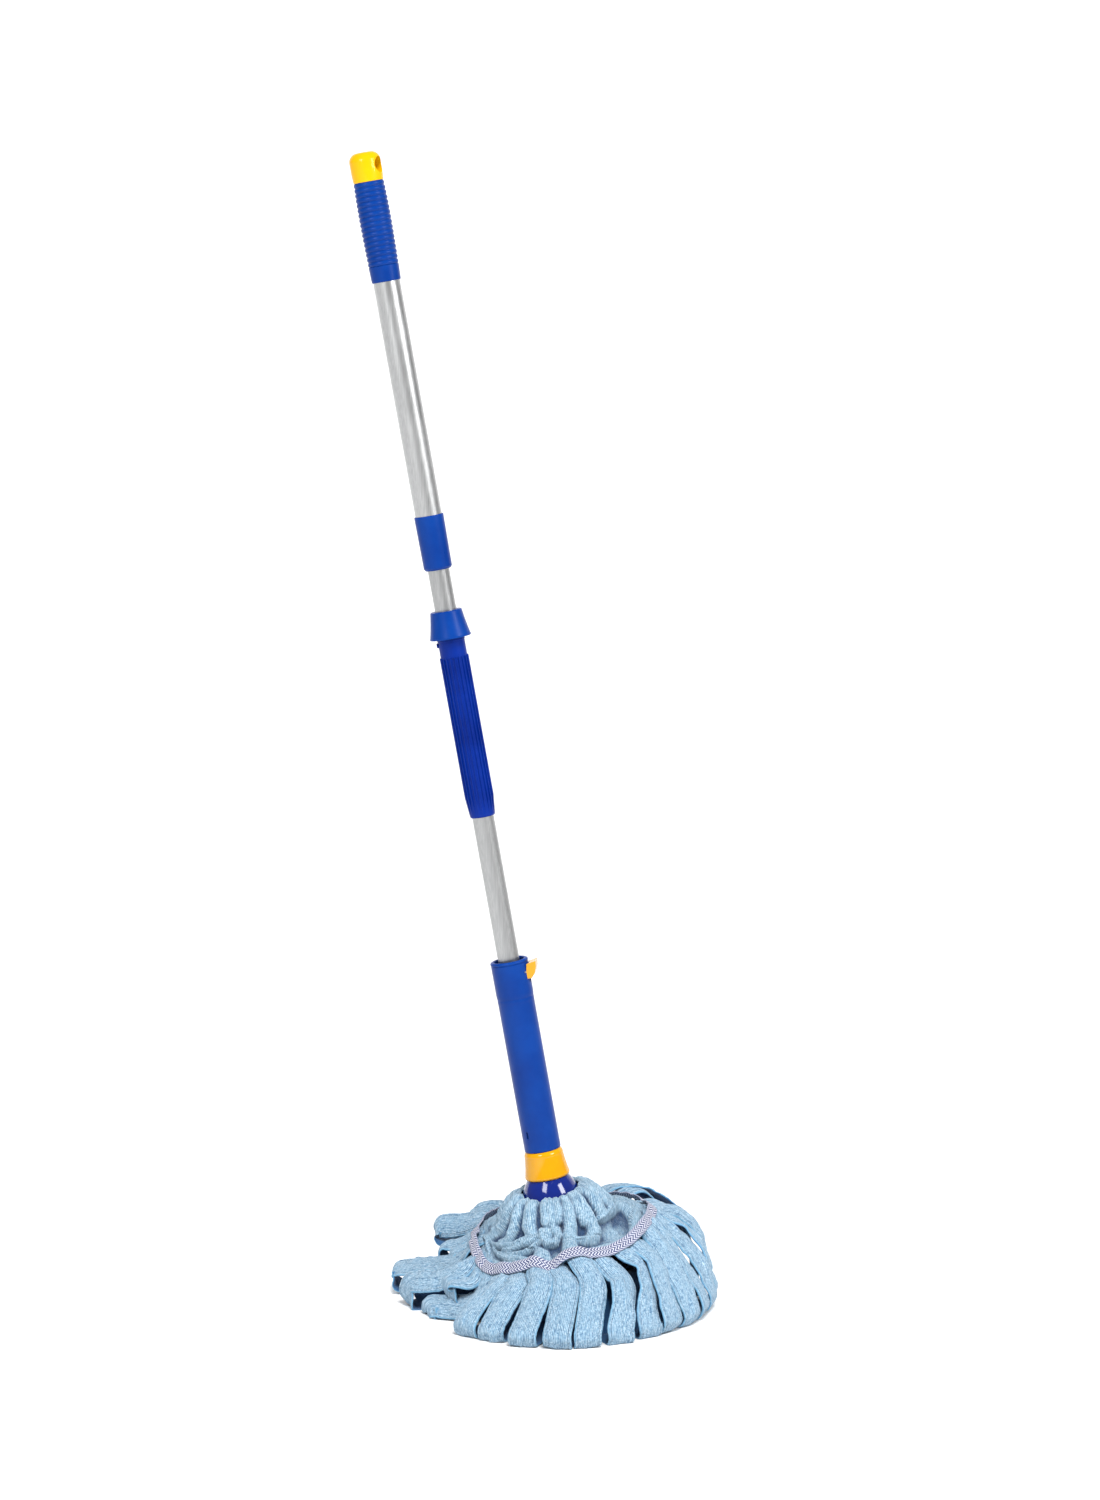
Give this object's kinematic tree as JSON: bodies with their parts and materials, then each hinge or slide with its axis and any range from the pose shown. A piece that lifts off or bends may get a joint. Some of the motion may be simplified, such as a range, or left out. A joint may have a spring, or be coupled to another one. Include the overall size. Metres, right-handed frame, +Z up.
{
  "type": "twist mop",
  "caption": "Self-wringing floor mop: telescopic tube handle, sliding ratchet sleeve that twists the head, and a round head of looped terry strips on a dome.",
  "frame": {"origin": "the point on the floor where the handle's axis meets it, under the mop's head", "axes": "+Z up from the floor; the handle leans 10 degrees towards -X; -Y is the side seen first"},
  "size_m": [0.3562, 0.3204, 1.1269],
  "materials": {
    "blue_plastic": "satin",
    "dark_blue_plastic": "satin",
    "yellow_plastic": "gloss",
    "brushed_aluminium": "satin",
    "white_plastic": "satin",
    "grey_plastic": "matte",
    "steel": "satin",
    "terry": "matte",
    "woven_tape": "matte"
  },
  "bodies": {
    "pole": {"main_tube": "brushed_aluminium", "tube_end_plug": "white_plastic", "base_disc": "grey_plastic", "base_clamp_ring": "grey_plastic", "base_screws": "steel", "base_pin": "steel", "mop_strips": "terry", "ratchet_shaft": "dark_blue_plastic", "shaft_rivet": "dark_blue_plastic", "stop_cup": "blue_plastic", "lock_plug": "white_plastic"},
    "lock": {"lock_expander": "white_plastic"},
    "handle": {"upper_tube": "brushed_aluminium", "lock_collar": "blue_plastic", "hand_grip": "blue_plastic", "hanging_cap": "yellow_plastic"},
    "bush": {"guide_bush": "white_plastic", "mop_tape": "woven_tape"},
    "sleeve": {"twist_sleeve": "blue_plastic", "bush_retainer": "white_plastic", "head_dome": "dark_blue_plastic", "yoke_clamp_ring": "white_plastic", "mop_yoke": "terry", "latch_pin": "steel", "latch_spring": "steel"},
    "latch": {"ratchet_latch": "yellow_plastic"},
    "release_ring": {"release_ring": "yellow_plastic"}
  },
  "joints": [
    {"name": "handle_twist", "type": "hinge", "parent": "pole", "child": "lock", "pos_m": [0, 0, 0], "axis": [-0.1736, 0, 0.9848], "range_deg": [0, 120]},
    {"name": "handle_slide", "type": "slide", "parent": "lock", "child": "handle", "axis": [-0.1736, 0, 0.9848], "range_m": [-0.04, 0.2]},
    {"name": "sleeve_slide", "type": "slide", "parent": "pole", "child": "bush", "axis": [-0.1736, 0, 0.9848], "range_m": [0, 0.2]},
    {"name": "sleeve_twist", "type": "hinge", "parent": "bush", "child": "sleeve", "pos_m": [0, 0, 0], "axis": [-0.1736, 0, 0.9848], "range_deg": [0, 162]},
    {"name": "latch_press", "type": "hinge", "parent": "sleeve", "child": "latch", "pos_m": [-0.04371, -0.0016, 0.33551], "axis": [-0.1029, -0.9945, -0.0182], "range_deg": [0, 9], "stiffness_Nm_per_rad": 0.25, "springref_deg": -8.59, "deforming": ["latch_spring"]},
    {"name": "ring_release", "type": "hinge", "parent": "sleeve", "child": "release_ring", "pos_m": [0, 0, 0], "axis": [-0.1736, 0, 0.9848], "range_deg": [0, 40]}
  ]
}
